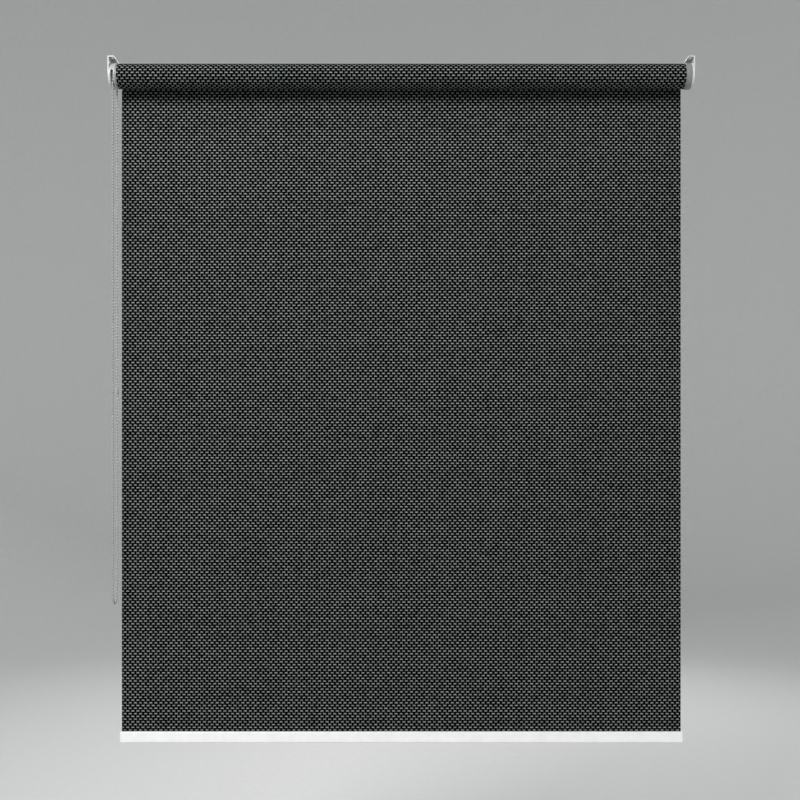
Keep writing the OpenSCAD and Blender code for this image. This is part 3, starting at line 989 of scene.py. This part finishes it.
apply_modifiers(hanging_cloth)
settle(hanging_cloth)
dress(hanging_cloth, hanging_fabric)
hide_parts("fabric_panel")
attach(hanging_cloth, "brackets")
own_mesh(hanging_cloth)

# %% [markdown]
# ## The cloth on the roller
# Two turns stay on the tube when the blind is down. A roll is not a plain cylinder: it is one
# sheet wound in a spiral, and its end shows the layers. So a flat grid is wound up in code: how
# far a row lies from the loose edge gives its angle and its radius. The loose edge ends at the
# rear, where the hanging cloth leaves. The UV map keeps the flat size in metres, and starts at
# the height of the hanging cloth's top, so the woven rows run on from one to the other.

# %% Wound cloth
layer = 0.6 * mm
turns = 2
rows_per_turn = 72
packed = 0.96
wind_rows = turns * rows_per_turn
clear_selection()
bpy.ops.mesh.primitive_grid_add(x_subdivisions=6, y_subdivisions=wind_rows, size=1)
wound_cloth = named("wound_cloth")
outer_r = tube_r + (turns + 0.5) * layer
cloth_uv = wound_cloth.data.uv_layers.active
cloth_uv.name = "cloth"
wound_length = sum(
    2 * math.pi * (outer_r - layer * (k + 0.5) / rows_per_turn) / rows_per_turn
    for k in range(wind_rows)
)
for corner in wound_cloth.data.loops:
    flat_point = wound_cloth.data.vertices[corner.vertex_index].co
    cloth_uv.data[corner.index].uv = (
        flat_point.x * 2 * cloth_half, panel_top - (flat_point.y + 0.5) * wound_length
    )
for point in wound_cloth.data.vertices:
    turned = (point.co.y + 0.5) * turns
    radius = outer_r - layer * turned
    angle = 2 * math.pi * turned
    point.co = (
        point.co.x * 2 * cloth_half, radius * math.cos(angle), axis_z + radius * math.sin(angle)
    )
only(wound_cloth)
bpy.ops.object.mode_set(mode="EDIT")
bpy.ops.mesh.select_all(action="SELECT")
bpy.ops.mesh.normals_make_consistent(inside=False)
bpy.ops.object.mode_set(mode="OBJECT")
thickness = wound_cloth.modifiers.new("thickness", "SOLIDIFY")
thickness.thickness = layer * packed
thickness.offset = 0
apply_modifiers(wound_cloth)
settle(wound_cloth)
dress(wound_cloth, wound_fabric)
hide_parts("fabric_roll")
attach(wound_cloth, "roller")
print(f"wound cloth {wound_length:.3f} m long, outer radius {outer_r / mm:.2f} mm")

# %% [markdown]
# ## The bar's end caps
# A moulded cap closes each end of the bar. Its plate has the bar's own outline and a soft outer
# rim, and its block grips inside the bar's lower chamber. The plate starts as a cube whose long
# edges are bevelled to the bar's corners. The outer rim then gets a finer bevel.

# %% End caps
bar_edge = 2.5 * mm
cap_inset = 1.6 * mm
lower_chamber = 7.4 * mm
block_play = 1 * mm
overlap = 1 * mm
rim_round = 0.7 * mm
block_round = 0.5 * mm


def end_cap(node_name, name):
    low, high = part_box(node_name)
    side = -1 if low.x < 0 else 1
    outer = low.x if side < 0 else high.x
    inner_face = side * half_width
    cap_t = abs(outer - inner_face)
    centre = (low + high) / 2
    clear_selection()
    bpy.ops.mesh.primitive_cube_add(
        size=1, location=((outer + inner_face) / 2, centre.y, centre.z)
    )
    plate = named(name)
    plate.scale = (cap_t, high.y - low.y, high.z - low.z)
    only(plate)
    bpy.ops.object.transform_apply(location=True, rotation=True, scale=True)
    select_edges(plate, lambda a, b: abs(a.x - b.x) > cap_t / 2)
    bevel_selected(bar_edge, 6)
    select_edges(plate, lambda a, b: max(abs(a.x - outer), abs(b.x - outer)) < hair)
    bevel_selected(rim_round, 3)
    clear_selection()
    block_len = (high.x - low.x) - cap_t
    bpy.ops.mesh.primitive_cube_add(
        size=1,
        location=(
            inner_face - side * block_len / 2, centre.y,
            low.z + cap_inset + lower_chamber / 2,
        ),
    )
    block = named(name + "_block")
    block_w = high.y - low.y - 2 * (cap_inset + block_play)
    block.scale = (block_len + overlap, block_w, lower_chamber)
    settle(block)
    block_bevel = block.modifiers.new("edges", "BEVEL")
    block_bevel.width = block_round
    block_bevel.segments = 2
    apply_modifiers(block)
    cap = settle(join(name, plate, block))
    dress(cap, moulded_white)
    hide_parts(node_name)
    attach(cap, "hem")
    return cap


caps = [
    end_cap("bar_cap_control", "end_cap_control"), end_cap("bar_cap_idle", "end_cap_idle")
]
print("caps:", [c.name for c in caps])

# %% [markdown]
# ## The pin's spring
# A coil spring behind the idle pin lets the roller be clicked out of its bracket. Its wire is a
# small circle, swept round the axis by a Screw modifier that also carries it along, which is
# how a lathe winds a spring. The two open ends are filled. It is wound round the origin and then
# raised to the axis.

# %% Idle spring
spring_low, spring_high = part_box("idle_spring")
wire_r = 0.6 * mm
coil_turns = 8
steps_per_turn = 20
weld = 0.01 * mm
coil_r = (spring_high.y - spring_low.y) / 2 - wire_r
coil_len = spring_high.x - spring_low.x - 2 * wire_r
clear_selection()
bpy.ops.mesh.primitive_circle_add(
    vertices=10, radius=wire_r, fill_type="NOTHING",
    location=(spring_low.x + wire_r, coil_r, 0),
)
idle_coil = named("idle_coil")
only(idle_coil)
bpy.ops.object.transform_apply(location=True, rotation=True, scale=True)
winding = idle_coil.modifiers.new("winding", "SCREW")
winding.axis = "X"
winding.angle = 2 * math.pi * coil_turns
winding.screw_offset = coil_len
winding.steps = winding.render_steps = steps_per_turn * coil_turns
apply_modifiers(idle_coil)
bpy.ops.object.mode_set(mode="EDIT")
bpy.ops.mesh.select_all(action="SELECT")
bpy.ops.mesh.remove_doubles(threshold=weld)
bpy.ops.mesh.fill_holes(sides=12)
bpy.ops.mesh.normals_make_consistent(inside=False)
bpy.ops.object.mode_set(mode="OBJECT")
idle_coil.location.z = axis_z
settle(idle_coil, smooth_deg=50)
dress(idle_coil, spring_wire)
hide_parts("idle_spring")
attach(idle_coil, "roller")
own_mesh(idle_coil)
print("coil faces:", len(idle_coil.data.polygons), "radius", round(coil_r / mm, 2), "mm")
